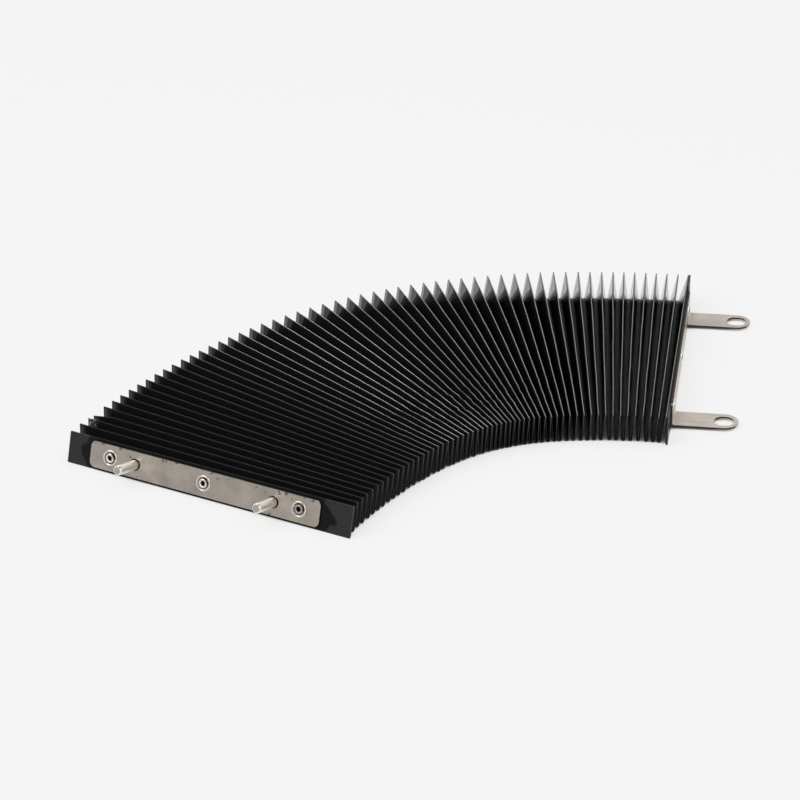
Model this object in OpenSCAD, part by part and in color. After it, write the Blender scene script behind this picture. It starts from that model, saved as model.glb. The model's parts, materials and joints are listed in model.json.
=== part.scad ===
// Bellows cover: one folded sheet between two riveted end boards, bent sideways as it lies.
// Millimetres. The origin is the middle of the far board's bottom edge and +Z is up.
// +X leaves the far end plate and +Y is the outer side of the bend at that end.

/* [Folded sheet] */
// Number of pleats between the end boards
pleats = 56; // [20:1:80]
// Mean crest to crest distance along the middle of the sheet
pitch = 5.17; // [4.6:0.01:8]
// Gathering of the crests towards the far end at mid length
gather = 4.75; // [0:0.05:5.5]
// Gathering of the crests towards the middle of the length
gather_middle = 0.75; // [0:0.05:1]
// Gathering of the crests at the two thirds of the length
gather_thirds = 0.25; // [0:0.05:0.4]
// Gathering of the crests in three equal waves along the length
gather_waves = 0.7; // [0:0.05:0.8]
// Length of a crest, and of each end board
sheet_w = 160; // [150:1:240]
// Step of each valley's end behind the ends of the crests
valley_inset = 1.5; // [0:0.1:4]
// Thickness of the sheet
sheet_t = 0.35; // [0.3:0.05:0.45]
// Radius of the crests, at the middle of the sheet's thickness
crest_r = 0.35; // [0.3:0.05:0.45]
// Radius of the valleys, at the middle of the sheet's thickness
valley_r = 0.8; // [0.5:0.05:0.9]
// Height of the valleys above the surface that the boards stand on
valley_clearance = 0.15; // [0:0.05:1]
// Shift of the first valley away from the far board
far_valley_shift = 2.2; // [0:0.1:2.2]
// Share of that shift which each next pleat keeps
far_shift_decay = 0.45; // [0:0.05:0.8]

/* [Bend] */
// Angle between the two end boards, seen from above
turn = 70.1; // [0:0.1:90]
// Share of the turn that the middle of the length takes from the ends
bend_middle = 0.068; // [0:0.001:0.08]
// Share of the turn that leans towards the near end
bend_skew = 0.041; // [0:0.001:0.06]
// Share of the turn in the last flattening of the bend's shoulders
bend_shoulder = 0.013; // [0:0.001:0.02]

/* [End boards] */
// Height of the boards, and of the crests above the surface
board_h = 15.85; // [15:0.05:24]
// Thickness of the boards
board_t = 0.8; // [0.6:0.1:3]
// Backward lean of the near board, which turns its face up
board_lean = 16.3; // [0:0.1:20]
// Play between the sheet and what it is glued or clamped to
seat_gap = 0.05; // [0.02:0.01:0.15]

/* [End plates] */
// Length of the steel plates
plate_w = 130; // [126:0.5:140]
// Height of the steel plates
plate_h = 13.5; // [12:0.1:14.5]
// Thickness of the steel
plate_t = 1; // [0.8:0.1:2]
// Radius of the plates' corners
plate_corner_r = 3; // [1:0.1:5]
// Shift of the near plate towards the outer side of the bend
near_plate_shift = 1.8; // [-2:0.1:4]
// Shift of the far plate towards the outer side of the bend
far_plate_shift = -0.4; // [-2:0.1:4]

/* [Rivets] */
// Distance from the middle rivet to each outer one
rivet_spread = 53.5; // [20:0.5:58]
// Radius of the raised rim round a rivet
rivet_rim_r = 4; // [3.9:0.05:4.6]
// Height of the rim above the plate
rivet_rim_h = 0.45; // [0.3:0.05:0.8]
// Height of the groove's floor above the plate
rivet_groove_z = 0.12; // [0.05:0.01:0.2]
// Radius of the rolled bead's outside
rivet_bead_r = 2.35; // [2:0.05:2.6]
// Height of the rolled bead above the plate
rivet_bead_h = 0.8; // [0.6:0.05:1]
// Thickness of the rolled bead
rivet_bead_t = 1.1; // [0.8:0.05:1.2]
// Depth of the flat that pressing leaves on the crown of the bead
rivet_crown_cut = 0.06; // [0.02:0.01:0.12]
// Inner radius of the rim, which is the outer edge of the groove
rivet_groove_r = 3.2; // [3:0.05:3.5]
// Radius of a rivet's shank
rivet_shank_r = 1.6; // [1.4:0.05:1.8]
// Radius of a rivet's centre hole
rivet_hole_r = 0.95; // [0.5:0.05:1]
// Radius of the tail that is spread behind the sheet
rivet_tail_r = 2.8; // [2.2:0.1:3.2]
// Thickness of the tail
rivet_tail_t = 0.5; // [0.3:0.05:0.6]
// Clearance round the shank
rivet_clearance = 0.05; // [0.02:0.01:0.15]

/* [Studs] */
// Distance from the middle of the near plate to each stud
stud_spread = 39.2; // [14:0.1:44]
// Radius of a stud's thread
stud_r = 2.5; // [2:0.1:3]
// Length of a stud in front of the plate
stud_len = 16.2; // [8:0.1:30]
// Bevel at a stud's tip
stud_bevel = 0.7; // [0.2:0.1:1.2]
// Width of the pressed-in groove round a stud's foot
stud_groove = 0.5; // [0.3:0.05:0.8]
// Step of a stud's neck behind its thread, from the head to just past the plate
stud_neck_step = 0.2; // [0.1:0.05:0.4]
// Height of the neck in front of the plate
stud_neck_h = 0.3; // [0.1:0.05:1]
// Radius of the head that is pressed flush into the plate's back
stud_head_r = 3.8; // [3.6:0.05:4.2]
// Thickness of that head
stud_head_t = 0.5; // [0.3:0.05:0.7]
// Play round the head in its recess
stud_head_clearance = 0.04; // [0.02:0.01:0.1]

/* [Lugs] */
// Distance between the centres of the two lugs
lug_spread = 110.5; // [60:0.5:112]
// Width of a lug, rounded fully at its tip
lug_w = 14.5; // [12:0.5:18]
// Reach of a lug in front of the plate's face
lug_reach = 32.8; // [20:0.1:60]
// Inside radius of the bend between plate and lug
lug_bend_r = 1; // [0.5:0.1:2]
// Width of the slot, across the lug
slot_w = 9; // [5:0.5:9.5]
// Length of the slot, along the lug
slot_len = 10.5; // [10:0.5:12]
// Distance from the slot's centre to the lug's tip
slot_from_tip = 7.3; // [7:0.1:12]

/* [Hidden] */
$fn = 48;

sheet_colour = "#141416";
board_colour = "#2f2f31";
steel_colour = "#9a9086";
zinc_colour = "#c9c8c6";

// Past every surface that a cut goes through
past = 0.5;
// Places across the sheet, from its inner end to its outer end, as shares of half its width
stations = [-1, -0.5, 0, 0.5, 1];
// Half the angle that the sheet turns through at a fold, from its ridge to the flat of a panel
fold_angle = 80;
// Signs of the places outer, middle and inner along a plate
outer = 1;
middle = 0;
inner = -1;

// The middle of the sheet in plan: it leaves the back of the far board and ends at the near
// board's foot, which stands in front of the last crest because the board leans
path_len = pleats * pitch + board_h * sin(board_lean);
path_steps = 4 * pleats;
path_step = path_len / path_steps;

function heading(s) =
    let (g = s / path_len)
    turn * (g + bend_skew * sin(180 * g) - bend_middle * sin(360 * g)
            - bend_shoulder * sin(540 * g));
function along(angle) = [-cos(angle), -sin(angle), 0];
function outward(angle) = [-sin(angle), cos(angle), 0];

path = [for (i = 0, p = [-board_t / 2, 0, 0];
             i <= path_steps;
             p = p + path_step * along(heading((i + 0.5) * path_step)), i = i + 1) p];
function path_at(s) =
    let (i = min(floor(s / path_step), path_steps - 1), rest = s - i * path_step)
    path[i] + rest * along(heading((i + 0.5) * path_step));

// The near board's foot and the three directions of its frame
near_foot = path[path_steps];
near_normal = cos(board_lean) * along(turn) + [0, 0, sin(board_lean)];
near_up = -sin(board_lean) * along(turn) + [0, 0, cos(board_lean)];

// Half the width of a fold of radius r, and its depth from the ridge to the flat of a panel
function fold_half(r) = r * sin(fold_angle);
function fold_drop(r) = r * (1 - cos(fold_angle));

// Heights of the sheet's middle surface on the folds
crest_z = board_h - 0.75 * sheet_t;
valley_z = valley_clearance + 0.75 * sheet_t;
flap_foot_z = valley_z + fold_drop(valley_r);
flap_top_z = crest_z - fold_drop(crest_r);
flap_back = seat_gap + sheet_t / 2;

// The points of a fold on its arc: the ridge is in the middle, and up is -1 for a crest
function fold(s, across, z, r, up, shares) =
    let (angle = heading(s), centre = path_at(s) + across * outward(angle))
    [for (share = shares)
        centre + r * sin(share * fold_angle) * along(angle)
            + [0, 0, z + up * r * (1 - cos(share * fold_angle))]];
function crest_s(i) =
    let (g = i / pleats)
    i * pitch - gather * sin(180 * g) + gather_middle * sin(360 * g) + gather_thirds * sin(540 * g)
    - gather_waves * (1 - cos(1080 * g));
function valley_s(i) =
    (crest_s(i) + crest_s(i + 1)) / 2 + far_valley_shift * pow(far_shift_decay, i);

// Flaps glued to the backs of the boards, with the crest that folds over each board's top
function far_flap(across) =
    let (back = [-board_t / 2 - flap_back, across, 0])
    [back + [0, 0, flap_foot_z],
     back + [0, 0, flap_top_z],
     back + [-fold_half(crest_r), 0, crest_z],
     back + [-2 * fold_half(crest_r), 0, flap_top_z]];
function near_flap(across) =
    let (back = near_foot + across * outward(turn) - flap_back * near_normal)
    [back - 2 * fold_half(crest_r) * near_normal + flap_top_z * near_up,
     back - fold_half(crest_r) * near_normal + crest_z * near_up,
     back + flap_top_z * near_up,
     back + flap_foot_z * near_up];

// The sheet's middle line at one station, from the far flap's foot to the near flap's foot
function sheet_line(share) =
    let (crest_across = share * sheet_w / 2,
         valley_across = share * (sheet_w / 2 - valley_inset),
         folds = [for (i = [0 : pleats - 1])
                     each concat(i == 0 ? []
                                     : fold(crest_s(i), crest_across, crest_z, crest_r, -1, [-1, 0, 1]),
                                 fold(valley_s(i), valley_across, valley_z, valley_r, 1,
                                      [-1, -0.5, 0, 0.5, 1]))])
    concat(far_flap(crest_across), folds, near_flap(crest_across));

function unit(v) = v / norm(v);
// Offset of each point of a line to one face of the sheet, mitred at the folds
function line_offsets(line, width_dir) =
    let (last = len(line) - 1,
         normals = [for (i = [0 : last - 1])
                       unit(cross(line[i + 1] - line[i], width_dir[i]))])
    [for (i = [0 : last])
        let (a = normals[max(i - 1, 0)], b = normals[min(i, last - 1)])
        (a + b) / (1 + a * b) * sheet_t / 2];

// One closed surface: both faces of the sheet, its two cut ends and its two flap feet
module sheet_surface() {
    lines = [for (share = stations) sheet_line(share)];
    rows = len(lines[0]);
    columns = len(stations);
    width_dirs = [for (i = [0 : rows - 1]) unit(lines[columns - 1][i] - lines[0][i])];
    offsets = [for (line = lines) line_offsets(line, width_dirs)];
    points = [for (face = [1, -1]) for (c = [0 : columns - 1]) for (i = [0 : rows - 1])
                 lines[c][i] + face * offsets[c][i]];
    function at(face, c, i) = (face * columns + c) * rows + i;
    function quad(a, b, c, d) = [[a, b, c], [a, c, d]];
    panels = [for (c = [0 : columns - 2]) for (i = [0 : rows - 2])
                 each concat(quad(at(0, c, i), at(0, c, i + 1), at(0, c + 1, i + 1), at(0, c + 1, i)),
                             quad(at(1, c, i), at(1, c + 1, i), at(1, c + 1, i + 1), at(1, c, i + 1)))];
    ends = [for (i = [0 : rows - 2])
               each concat(quad(at(0, 0, i), at(1, 0, i), at(1, 0, i + 1), at(0, 0, i + 1)),
                           quad(at(0, columns - 1, i), at(0, columns - 1, i + 1),
                                at(1, columns - 1, i + 1), at(1, columns - 1, i)))];
    feet = [for (c = [0 : columns - 2])
               each concat(quad(at(0, c, 0), at(0, c + 1, 0), at(1, c + 1, 0), at(1, c, 0)),
                           quad(at(0, c, rows - 1), at(1, c, rows - 1),
                                at(1, c + 1, rows - 1), at(0, c + 1, rows - 1)))];
    polyhedron(points, concat(panels, ends, feet), convexity = 20);
}

// Frames of the two ends: X leaves the back of the board, Z climbs it, and Y runs along it from
// the middle of the plate
module at_far() {
    translate([-board_t / 2, far_plate_shift, 0]) children();
}
module at_near() {
    translate(near_foot) rotate([0, 0, 180 + turn]) rotate([0, -board_lean, 0]) mirror([0, 1, 0])
        translate([0, near_plate_shift, 0]) children();
}

// The middle of a plate, and a place along it, at the given distance from the board's back
module on_board(depth, spread) {
    translate([depth, spread, board_h / 2]) children();
}

// A cylinder along X from the given depth
module bore(r, length) {
    rotate([0, 90, 0]) cylinder(r = r, h = length);
}
module rivet_bores(depth, length) {
    for (place = [outer, middle, inner])
        on_board(depth, place * rivet_spread) bore(rivet_shank_r + rivet_clearance, length);
}

module board(shift) {
    difference() {
        translate([0, -sheet_w / 2 - shift, 0]) cube([board_t, sheet_w, board_h]);
        rivet_bores(-past, board_t + 2 * past);
    }
}

// A flat plate with round corners that lies on the board's face
module flat_plate() {
    on_board(board_t, 0) rotate([90, 0, 90]) linear_extrude(plate_t)
        union() {
            square([plate_w - 2 * plate_corner_r, plate_h], center = true);
            square([plate_w, plate_h - 2 * plate_corner_r], center = true);
            for (x = [-1, 1]) for (y = [-1, 1])
                translate([x * (plate_w / 2 - plate_corner_r), y * (plate_h / 2 - plate_corner_r)])
                    circle(plate_corner_r);
        }
}

// A tubular rivet: its rim and rolled bead lie on the plate's face, with a groove between them,
// and its tail is spread behind the sheet
rivet_grip = plate_t + board_t + sheet_t + 2 * seat_gap;
rivet_hole_depth = plate_t + board_t / 2;
rim_round_r = (rivet_rim_r - rivet_groove_r) / 2;
bead_round_r = rivet_bead_t / 2;
bead_middle_z = rivet_bead_h + rivet_crown_cut - bead_round_r;
module rivet_front() {
    intersection() {
        union() {
            square([rivet_rim_r - rim_round_r, rivet_groove_z]);
            translate([rivet_rim_r - rim_round_r, rivet_rim_h - rim_round_r]) circle(rim_round_r);
            translate([rivet_bead_r - bead_round_r, bead_middle_z]) circle(bead_round_r);
            square([rivet_bead_r - bead_round_r, bead_middle_z]);
        }
        square([rivet_rim_r, rivet_bead_h]);
    }
}
module rivet(place) {
    on_board(board_t + plate_t, place * rivet_spread) rotate([0, 90, 0]) rotate_extrude()
        difference() {
            union() {
                translate([0, -rivet_grip - rivet_tail_t]) square([rivet_tail_r, rivet_tail_t]);
                translate([0, -rivet_grip]) square([rivet_shank_r, rivet_grip]);
                rivet_front();
            }
            translate([0, -rivet_hole_depth])
                square([rivet_hole_r, rivet_hole_depth + rivet_bead_h + past]);
        }
}

// A stud pressed through the near plate, with its head flush in the plate's back
module stud(place) {
    on_board(board_t, place * stud_spread) rotate([0, 90, 0]) rotate_extrude()
        polygon([[0, 0], [stud_head_r, 0], [stud_head_r, stud_head_t],
                 [stud_r - stud_neck_step, stud_head_t],
                 [stud_r - stud_neck_step, plate_t + stud_neck_h],
                 [stud_r, plate_t + stud_neck_h], [stud_r, plate_t + stud_len - stud_bevel],
                 [stud_r - stud_bevel, plate_t + stud_len], [0, plate_t + stud_len]]);
}
module stud_bores() {
    for (place = [outer, inner]) {
        on_board(board_t - past, place * stud_spread) bore(stud_r + stud_groove, plate_t + 2 * past);
        on_board(board_t - past, place * stud_spread)
            bore(stud_head_r + stud_head_clearance, stud_head_t + stud_head_clearance + past);
    }
}

// Section of a lug's bend in the XZ plane, about the bend's centre
bend_outer_r = lug_bend_r + plate_t;
lug_z = (board_h - plate_h) / 2;
module lug_bend() {
    translate([board_t + bend_outer_r, lug_w / 2, lug_z + bend_outer_r])
        rotate([90, 0, 0]) linear_extrude(lug_w)
            intersection() {
                difference() {
                    circle(bend_outer_r);
                    circle(lug_bend_r);
                }
                translate([-bend_outer_r, -bend_outer_r]) square(bend_outer_r);
            }
}
module lug_tongue() {
    start = board_t + bend_outer_r;
    tip = board_t + plate_t + lug_reach;
    translate([0, 0, lug_z]) linear_extrude(plate_t)
        difference() {
            union() {
                translate([start, -lug_w / 2]) square([tip - lug_w / 2 - start, lug_w]);
                translate([tip - lug_w / 2, 0]) circle(lug_w / 2);
            }
            translate([tip - slot_from_tip, 0]) {
                square([slot_len - slot_w, slot_w], center = true);
                for (side = [-1, 1])
                    translate([side * (slot_len - slot_w) / 2, 0]) circle(slot_w / 2);
            }
        }
}

module folded_sheet() {
    color(sheet_colour)
        difference() {
            sheet_surface();
            at_far() rivet_bores(-seat_gap - sheet_t - past / 4, sheet_t + past / 2);
            at_near() rivet_bores(-seat_gap - sheet_t - past / 4, sheet_t + past / 2);
        }
}

module far_board() {
    color(board_colour) at_far() board(far_plate_shift);
}
module near_board() {
    color(board_colour) at_near() board(near_plate_shift);
}

module far_plate() {
    color(steel_colour) at_far() {
        difference() {
            flat_plate();
            rivet_bores(board_t - past, plate_t + 2 * past);
            for (side = [-1, 1])
                translate([board_t - past, side * lug_spread / 2 - lug_w / 2, lug_z - past])
                    cube([plate_t + 2 * past, lug_w, bend_outer_r + past]);
        }
        for (side = [-1, 1])
            translate([0, side * lug_spread / 2, 0]) {
                lug_bend();
                lug_tongue();
            }
    }
}
module near_plate() {
    color(steel_colour) at_near()
        difference() {
            flat_plate();
            rivet_bores(board_t - past, plate_t + 2 * past);
            stud_bores();
        }
}

module far_rivet_outer() {
    color(zinc_colour) at_far() rivet(outer);
}
module far_rivet_middle() {
    color(zinc_colour) at_far() rivet(middle);
}
module far_rivet_inner() {
    color(zinc_colour) at_far() rivet(inner);
}
module near_rivet_outer() {
    color(zinc_colour) at_near() rivet(outer);
}
module near_rivet_middle() {
    color(zinc_colour) at_near() rivet(middle);
}
module near_rivet_inner() {
    color(zinc_colour) at_near() rivet(inner);
}
module near_stud_outer() {
    color(zinc_colour) at_near() stud(outer);
}
module near_stud_inner() {
    color(zinc_colour) at_near() stud(inner);
}

folded_sheet();
far_board();
far_plate();
far_rivet_outer();
far_rivet_middle();
far_rivet_inner();
near_board();
near_plate();
near_stud_outer();
near_stud_inner();
near_rivet_outer();
near_rivet_middle();
near_rivet_inner();
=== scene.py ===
"""Looks of the bellows cover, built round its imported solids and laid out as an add-on."""

import json
import math
from contextlib import contextmanager

import bmesh
import bpy
import numpy as np
from bpy.props import FloatProperty, FloatVectorProperty, IntProperty, PointerProperty
from mathutils import Matrix, Vector, noise


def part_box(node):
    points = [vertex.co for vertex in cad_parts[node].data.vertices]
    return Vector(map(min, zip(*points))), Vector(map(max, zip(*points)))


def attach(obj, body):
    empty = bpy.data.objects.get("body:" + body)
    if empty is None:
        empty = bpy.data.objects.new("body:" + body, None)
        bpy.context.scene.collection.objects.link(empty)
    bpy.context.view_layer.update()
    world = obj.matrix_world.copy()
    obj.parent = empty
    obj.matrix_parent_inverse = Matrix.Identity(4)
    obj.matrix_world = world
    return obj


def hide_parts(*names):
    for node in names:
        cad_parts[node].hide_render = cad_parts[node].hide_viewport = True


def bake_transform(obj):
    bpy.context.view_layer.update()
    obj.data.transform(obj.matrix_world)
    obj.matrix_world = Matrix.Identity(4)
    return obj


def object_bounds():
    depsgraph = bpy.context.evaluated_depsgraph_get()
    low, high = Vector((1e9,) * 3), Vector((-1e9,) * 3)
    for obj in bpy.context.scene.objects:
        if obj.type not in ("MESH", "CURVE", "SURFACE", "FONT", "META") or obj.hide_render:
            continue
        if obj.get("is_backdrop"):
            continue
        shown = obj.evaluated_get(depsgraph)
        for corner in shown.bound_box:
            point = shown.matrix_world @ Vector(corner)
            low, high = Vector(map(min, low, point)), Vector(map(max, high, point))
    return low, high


bl_info = {
    "name": "Bellows cover",
    "version": (1, 0, 0),
    "blender": (4, 5, 0),
    "location": "View3D > Sidebar > Bellows",
    "description": "A pleated cover between two riveted end boards, with its studio",
    "category": "Object",
}

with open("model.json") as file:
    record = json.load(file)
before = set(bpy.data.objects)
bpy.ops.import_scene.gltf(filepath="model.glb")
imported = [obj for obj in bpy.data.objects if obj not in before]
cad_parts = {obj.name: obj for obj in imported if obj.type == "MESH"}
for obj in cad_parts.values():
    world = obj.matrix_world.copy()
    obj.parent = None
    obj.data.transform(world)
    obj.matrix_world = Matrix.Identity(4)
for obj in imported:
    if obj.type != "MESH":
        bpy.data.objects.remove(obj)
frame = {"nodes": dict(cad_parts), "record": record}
MM = 0.001
UP = np.array([0.0, 0.0, 1.0])


def length(label, about, default_mm):
    """A length property, given in millimetres."""
    return FloatProperty(name=label, description=about, default=default_mm * MM,
                         min=0.0, unit="LENGTH", precision=5)


def share(label, about, default):
    """A plain number between 0 and 1."""
    return FloatProperty(name=label, description=about, default=default, min=0.0, max=1.0,
                         precision=4)


def colour(label, about, default):
    """A linear colour."""
    return FloatVectorProperty(name=label, description=about, default=default, size=3,
                               subtype="COLOR", min=0.0, max=1.0)


class CoverSheet(bpy.types.PropertyGroup):
    """The folded sheet."""
    pleats: IntProperty(name="Pleats", description="Pleats between the boards", default=56)
    pitch: length("Pitch", "Mean crest to crest along the middle of the sheet", 5.17)
    gather: length("Gather", "Gathering of the crests towards the far end", 4.75)
    gather_middle: length("Gather at the middle", "Gathering towards mid length", 0.75)
    gather_thirds: length("Gather at the thirds", "Gathering at the two thirds", 0.25)
    gather_waves: length("Gather in waves", "Gathering in three equal waves", 0.7)
    width: length("Width", "Length of a crest", 160.0)
    valley_inset: length("Valley inset", "Step of a valley's end behind the crests' ends", 1.5)
    thickness: length("Thickness", "Thickness of the sheet", 0.35)
    crest_radius: length("Crest radius", "Radius of the crests at mid thickness", 0.2)
    valley_radius: length("Valley radius", "Radius of the valleys at mid thickness", 0.5)
    valley_swell: length("Valley swell", "Growth of that radius at the inner ends", 0.35)
    end_waver: length("End waver", "How far a valley's inner end strays", 0.5)
    fold_angle: FloatProperty(name="Fold angle", description="Turn from a ridge to a panel",
                              default=math.radians(80.0), subtype="ANGLE")
    clearance: length("Valley clearance", "Height of the valleys over the surface", 0.15)
    first_shift: length("First valley shift", "Shift of the valley next to the far board", 2.2)
    shift_decay: share("Shift decay", "Share of the shift that the next valley keeps", 0.45)
    seat_gap: length("Seat gap", "Play between a flap and its board", 0.05)
    stations: IntProperty(name="Stations", description="Points across the sheet", default=45)
    crest_points: IntProperty(name="Crest points", description="Points round a crest", default=5)
    valley_points: IntProperty(name="Valley points", description="Points round a valley",
                               default=7)
    waver: length("Waver", "How far a crest strays sideways", 0.16)
    uneven: length("Uneven spacing", "How far a whole fold strays from its place", 0.2)
    height_waver: length("Height waver", "How far a crest strays in height", 0.14)
    wrinkle: length("Wrinkle", "Small kinks of the middle crests near their inner ends", 0.8)
    panel_bow: length("Panel bow", "How far a panel is bowed between its folds", 0.1)


class CoverBend(bpy.types.PropertyGroup):
    """The bend that the cover lies in."""
    turn: FloatProperty(name="Turn", description="Angle between the boards",
                        default=math.radians(70.1), subtype="ANGLE")
    lean: FloatProperty(name="Lean", description="Backward lean of the near board",
                        default=math.radians(16.3), subtype="ANGLE")
    middle: share("Middle", "Share of the turn that the middle takes from the ends", 0.068)
    skew: share("Skew", "Share of the turn that leans to the near end", 0.041)
    shoulder: share("Shoulder", "Share of the turn that flattens the shoulders", 0.013)


class CoverFinish(bpy.types.PropertyGroup):
    """Colours of the finishes."""
    sheet: colour("Sheet", "The glossy folded sheet", (0.0085, 0.0085, 0.0095))
    # This pale colour also serves as the painted highlight on the crests.
    crease_and_highlight: colour("Crease", "The pressed fold lines", (0.72, 0.72, 0.73))
    # Its full tone is the painted highlight on the cut ends; their own dark is a small share of it.
    cut_edge_and_highlight: colour("Cut edge", "The sheet's cut ends", (0.13, 0.13, 0.132))
    board: colour("Board", "The black end boards", (0.021, 0.021, 0.0215))
    stain: colour("Stain", "Dark stains on the boards", (0.003, 0.003, 0.0035))
    steel: colour("Steel", "The end plates", (0.525, 0.470, 0.415))
    steel_dirt: colour("Steel dirt", "Smudges on the plates", (0.055, 0.050, 0.046))
    oxide: colour("Oxide", "Brown cut edges of the plates", (0.060, 0.044, 0.035))
    bright: colour("Bright", "Studs and rivets", (0.86, 0.825, 0.765))
    # Also used as painted shade: it darkens the rivets' holes and grooves and the studs' heads in
    # their bores.
    grime_and_shade: colour("Grime", "Dirt in the grooves and holes", (0.020, 0.013, 0.010))
    floor: colour("Floor", "The pale floor and backdrop", (0.913, 0.913, 0.913))


class CoverFasteners(bpy.types.PropertyGroup):
    """Studs and rivets."""
    thread_pitch: length("Thread pitch", "Pitch of the studs' thread", 0.8)
    thread_depth: length("Thread depth", "Depth that shows of the thread", 0.08)
    edge_round: length("Edge rounding", "Rounding of the plates' edges", 0.22)
    board_round: length("Board rounding", "Rounding of the boards' edges", 0.12)
    plate_thickness: length("Plate thickness", "Thickness of the steel plates", 1.0)
    rivet_spread: length("Rivet spread", "Middle rivet to an outer one", 53.5)


GROUPS = {"cover_sheet": CoverSheet, "cover_bend": CoverBend, "cover_finish": CoverFinish,
          "cover_fasteners": CoverFasteners}


def heading(s, path_length, bend):
    """Direction of the cover's middle line at the length s from the far board."""
    g = s / path_length
    return bend.turn * (g + bend.skew * np.sin(math.pi * g) - bend.middle * np.sin(2 * math.pi * g)
                        - bend.shoulder * np.sin(3 * math.pi * g))


def along(angle):
    """Unit step along the middle line, away from the far board."""
    return np.stack([-np.cos(angle), -np.sin(angle), np.zeros_like(angle)], -1)


def outward(angle):
    """Unit step along a crest, to the outer side of the bend."""
    return np.stack([-np.sin(angle), np.cos(angle), np.zeros_like(angle)], -1)


class End:
    """Frame of an end: depth grows out of the board's back, height climbs it, across is outward."""

    def __init__(self, foot, normal, climb, across):
        self.foot, self.normal, self.climb, self.across = foot, normal, climb, across

    def point(self, depth, across, height):
        """The place at these distances from the foot of the board's back."""
        return self.foot + depth * self.normal + across * self.across + height * self.climb


class Ground:
    """The cover's middle line and the frames of its two ends, from the settings and the boards."""

    def __init__(self, scene):
        self.sheet = scene.cover_sheet
        self.bend = scene.cover_bend
        low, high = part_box("far_board")
        self.board_t = high.x - low.x
        self.board_h = high.z - low.z
        self.length = self.sheet.pitch * self.sheet.pleats + self.board_h * math.sin(self.bend.lean)
        steps = 4 * self.sheet.pleats
        self.step = self.length / steps
        mids = (np.arange(steps) + 0.5) * self.step
        moves = self.step * along(heading(mids, self.length, self.bend))
        start = np.array([[low.x, 0.0, 0.0]])
        self.line = np.concatenate([start, start + np.cumsum(moves, 0)])
        turn = np.array(self.bend.turn)
        self.far = End(self.line[0], np.array([1.0, 0.0, 0.0]), UP, np.array([0.0, 1.0, 0.0]))
        normal = math.cos(self.bend.lean) * along(turn) + math.sin(self.bend.lean) * UP
        climb = -math.sin(self.bend.lean) * along(turn) + math.cos(self.bend.lean) * UP
        self.near = End(self.line[-1], normal, climb, outward(turn))
        self.check()

    def at(self, s):
        """Point of the middle line at the length s."""
        index = np.clip((s / self.step).astype(int), 0, len(self.line) - 2)
        rest = s - index * self.step
        angle = heading((index + 0.5) * self.step, self.length, self.bend)
        return self.line[index] + rest[:, None] * along(angle)

    def check(self):
        """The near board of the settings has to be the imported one."""
        corners = [self.near.point(depth, side * self.sheet.width / 2, height)
                   for depth in (0.0, self.board_t) for side in (-1, 1)
                   for height in (0.0, self.board_h)]
        found = np.array([np.min(corners, 0), np.max(corners, 0)])
        miss = np.abs(found - np.array(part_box("near_board"))).max()
        if miss > 0.5 * MM:
            raise RuntimeError(f"the near board lies {miss / MM:.2f} mm from its place")


def add_mesh(name, vertices, faces):
    """A new, smooth mesh object of these vertices and faces."""
    mesh = bpy.data.meshes.new(name)
    mesh.from_pydata([tuple(v) for v in vertices], [], faces)
    mesh.update()
    mesh.polygons.foreach_set("use_smooth", [True] * len(mesh.polygons))
    obj = bpy.data.objects.new(name, mesh)
    bpy.context.scene.collection.objects.link(obj)
    return obj


@contextmanager
def opened(obj):
    """The object's mesh, open for changes."""
    bm = bmesh.new()
    bm.from_mesh(obj.data)
    yield bm
    bm.to_mesh(obj.data)
    bm.free()


def face_outward(obj):
    """Turns every face's normal to the outside."""
    with opened(obj) as bm:
        bmesh.ops.recalc_face_normals(bm, faces=bm.faces)


# Points round a stud or a rivet.
SEGMENTS = 48


def turned(name, end, centre, profile):
    """A closed form round an end's normal. The profile lists radii and depths.

    A radius is one for a whole ring or one for each of its points, and 0 is a single point.
    """
    angles = 2 * math.pi * np.arange(SEGMENTS) / SEGMENTS
    spokes = np.outer(np.cos(angles), end.climb) + np.outer(np.sin(angles), end.across)
    vertices, rings = [], []
    for radii, depth in profile:
        points = centre + depth * end.normal + np.reshape(radii, (-1, 1)) * spokes
        if not np.any(radii):
            points = points[:1]
        rings.append(list(range(len(vertices), len(vertices) + len(points))))
        vertices.extend(points)
    faces = [ring for ring in (rings[0], rings[-1]) if len(ring) > 1]
    for a, b in zip(rings, rings[1:]):
        for k in range(SEGMENTS):
            corners = a[k % len(a)], a[(k + 1) % len(a)], b[(k + 1) % len(b)], b[k % len(b)]
            faces.append(list(dict.fromkeys(corners)))
    obj = add_mesh(name, vertices, faces)
    face_outward(obj)
    return obj


def arc(centre, radius, start, stop, steps):
    """Points of an arc in a profile, angles in degrees from the radius axis to the depth axis."""
    angles = np.radians(np.linspace(start, stop, steps))
    return list(zip(centre[0] + radius * np.cos(angles), centre[1] + radius * np.sin(angles)))


def set_number(obj, name, values):
    """Gives the mesh a number at each of its points."""
    layer = obj.data.attributes.new(name, "FLOAT", "POINT")
    layer.data.foreach_set("value", np.array(values, np.float32))


def sharp_by_angle(obj, degrees):
    """Smooth shading, apart from edges sharper than the angle."""
    with opened(obj) as bm:
        for face in bm.faces:
            face.smooth = True
        for edge in bm.edges:
            edge.smooth = (len(edge.link_faces) == 2
                           and edge.calc_face_angle() < math.radians(degrees))


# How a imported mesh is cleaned, and which of its edges are rounded.
WELD = 0.002 * MM
FLAT_ANGLE = math.radians(0.8)
EDGE_ANGLE = math.radians(40.0)
ROUNDING_SEGMENTS = 3
NORMAL_WEIGHT = 60


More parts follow.
